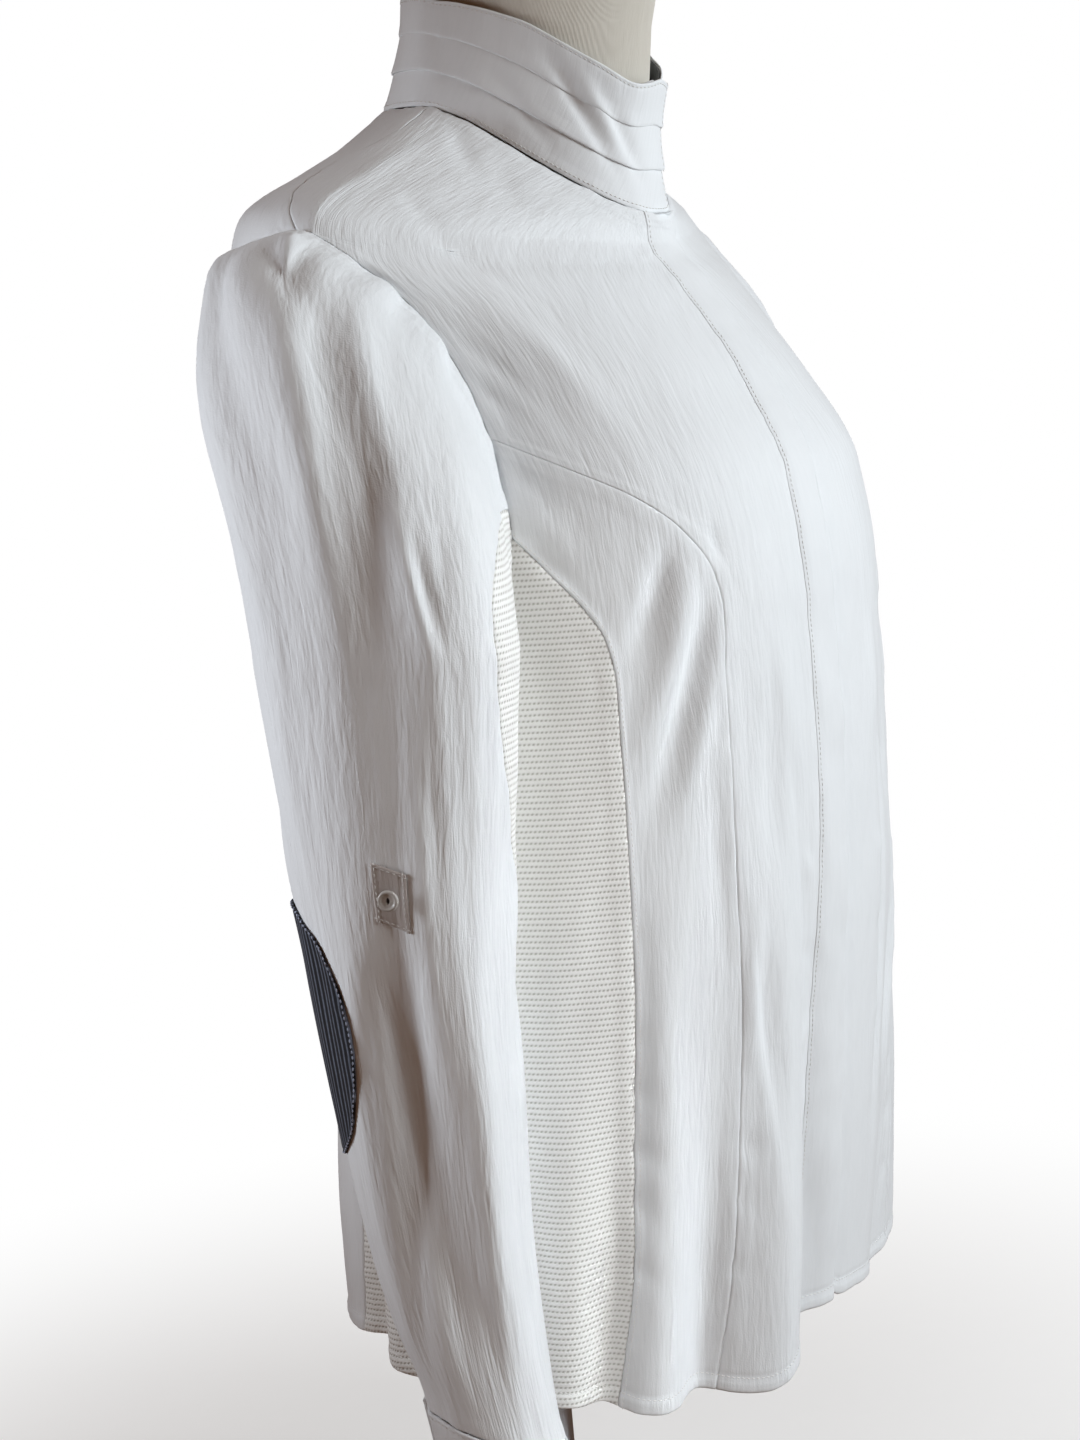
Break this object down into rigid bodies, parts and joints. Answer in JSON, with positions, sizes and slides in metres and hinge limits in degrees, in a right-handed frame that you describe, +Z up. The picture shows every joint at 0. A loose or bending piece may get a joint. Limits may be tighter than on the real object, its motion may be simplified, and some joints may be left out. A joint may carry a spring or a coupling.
{
  "type": "equestrian show shirt on a limbless dress form with a bench stand",
  "caption": "Long-sleeved show shirt with a pleated stand collar, covered front fastening, mesh side panels and oval elbow patches, worn by a limbless dress form on a round bench stand.",
  "frame": {"origin": "middle of the stand base's underside, on the bench", "axes": "+Z up; the shirt's front faces -Y; the wearer's right is -X and the wearer's left is +X"},
  "size_m": [0.5489, 0.3429, 0.921],
  "materials": {
    "white_crepe": "light crinkled crepe shirting with a slight sheen",
    "cream_mesh": "stretch mesh knit with small staggered eyelets",
    "navy_pinstripe": "matt suiting with a fine pale pinstripe",
    "grey_heather": "dark grey flecked jersey",
    "pearl_button": "translucent pearl polyester",
    "form_linen": "cream twill cover drawn tight over a hard form",
    "stand_steel": "satin steel"
  },
  "bodies": {
    "root": {"back": "white_crepe", "front_right": "white_crepe", "front_left": "white_crepe", "side_front_right": "white_crepe", "side_front_left": "white_crepe", "fly_band": "white_crepe", "sleeve_right": "white_crepe", "sleeve_left": "white_crepe", "cuff_right": "white_crepe", "cuff_left": "white_crepe", "tab_patch_right": "white_crepe", "tab_patch_left": "white_crepe", "collar_tier_lower": "white_crepe", "collar_tier_middle": "white_crepe", "collar_tier_upper": "white_crepe", "side_mesh_right": "cream_mesh", "side_mesh_left": "cream_mesh", "gusset_right": "cream_mesh", "gusset_left": "cream_mesh", "elbow_patch_right": "navy_pinstripe", "elbow_patch_left": "navy_pinstripe", "collar_facing": "grey_heather", "cuff_button_right": "pearl_button", "cuff_button_left": "pearl_button", "tab_button_right": "pearl_button", "tab_button_left": "pearl_button", "dress_form": "form_linen", "stand_base": "stand_steel", "stand_pole": "stand_steel"}
  },
  "joints": []
}
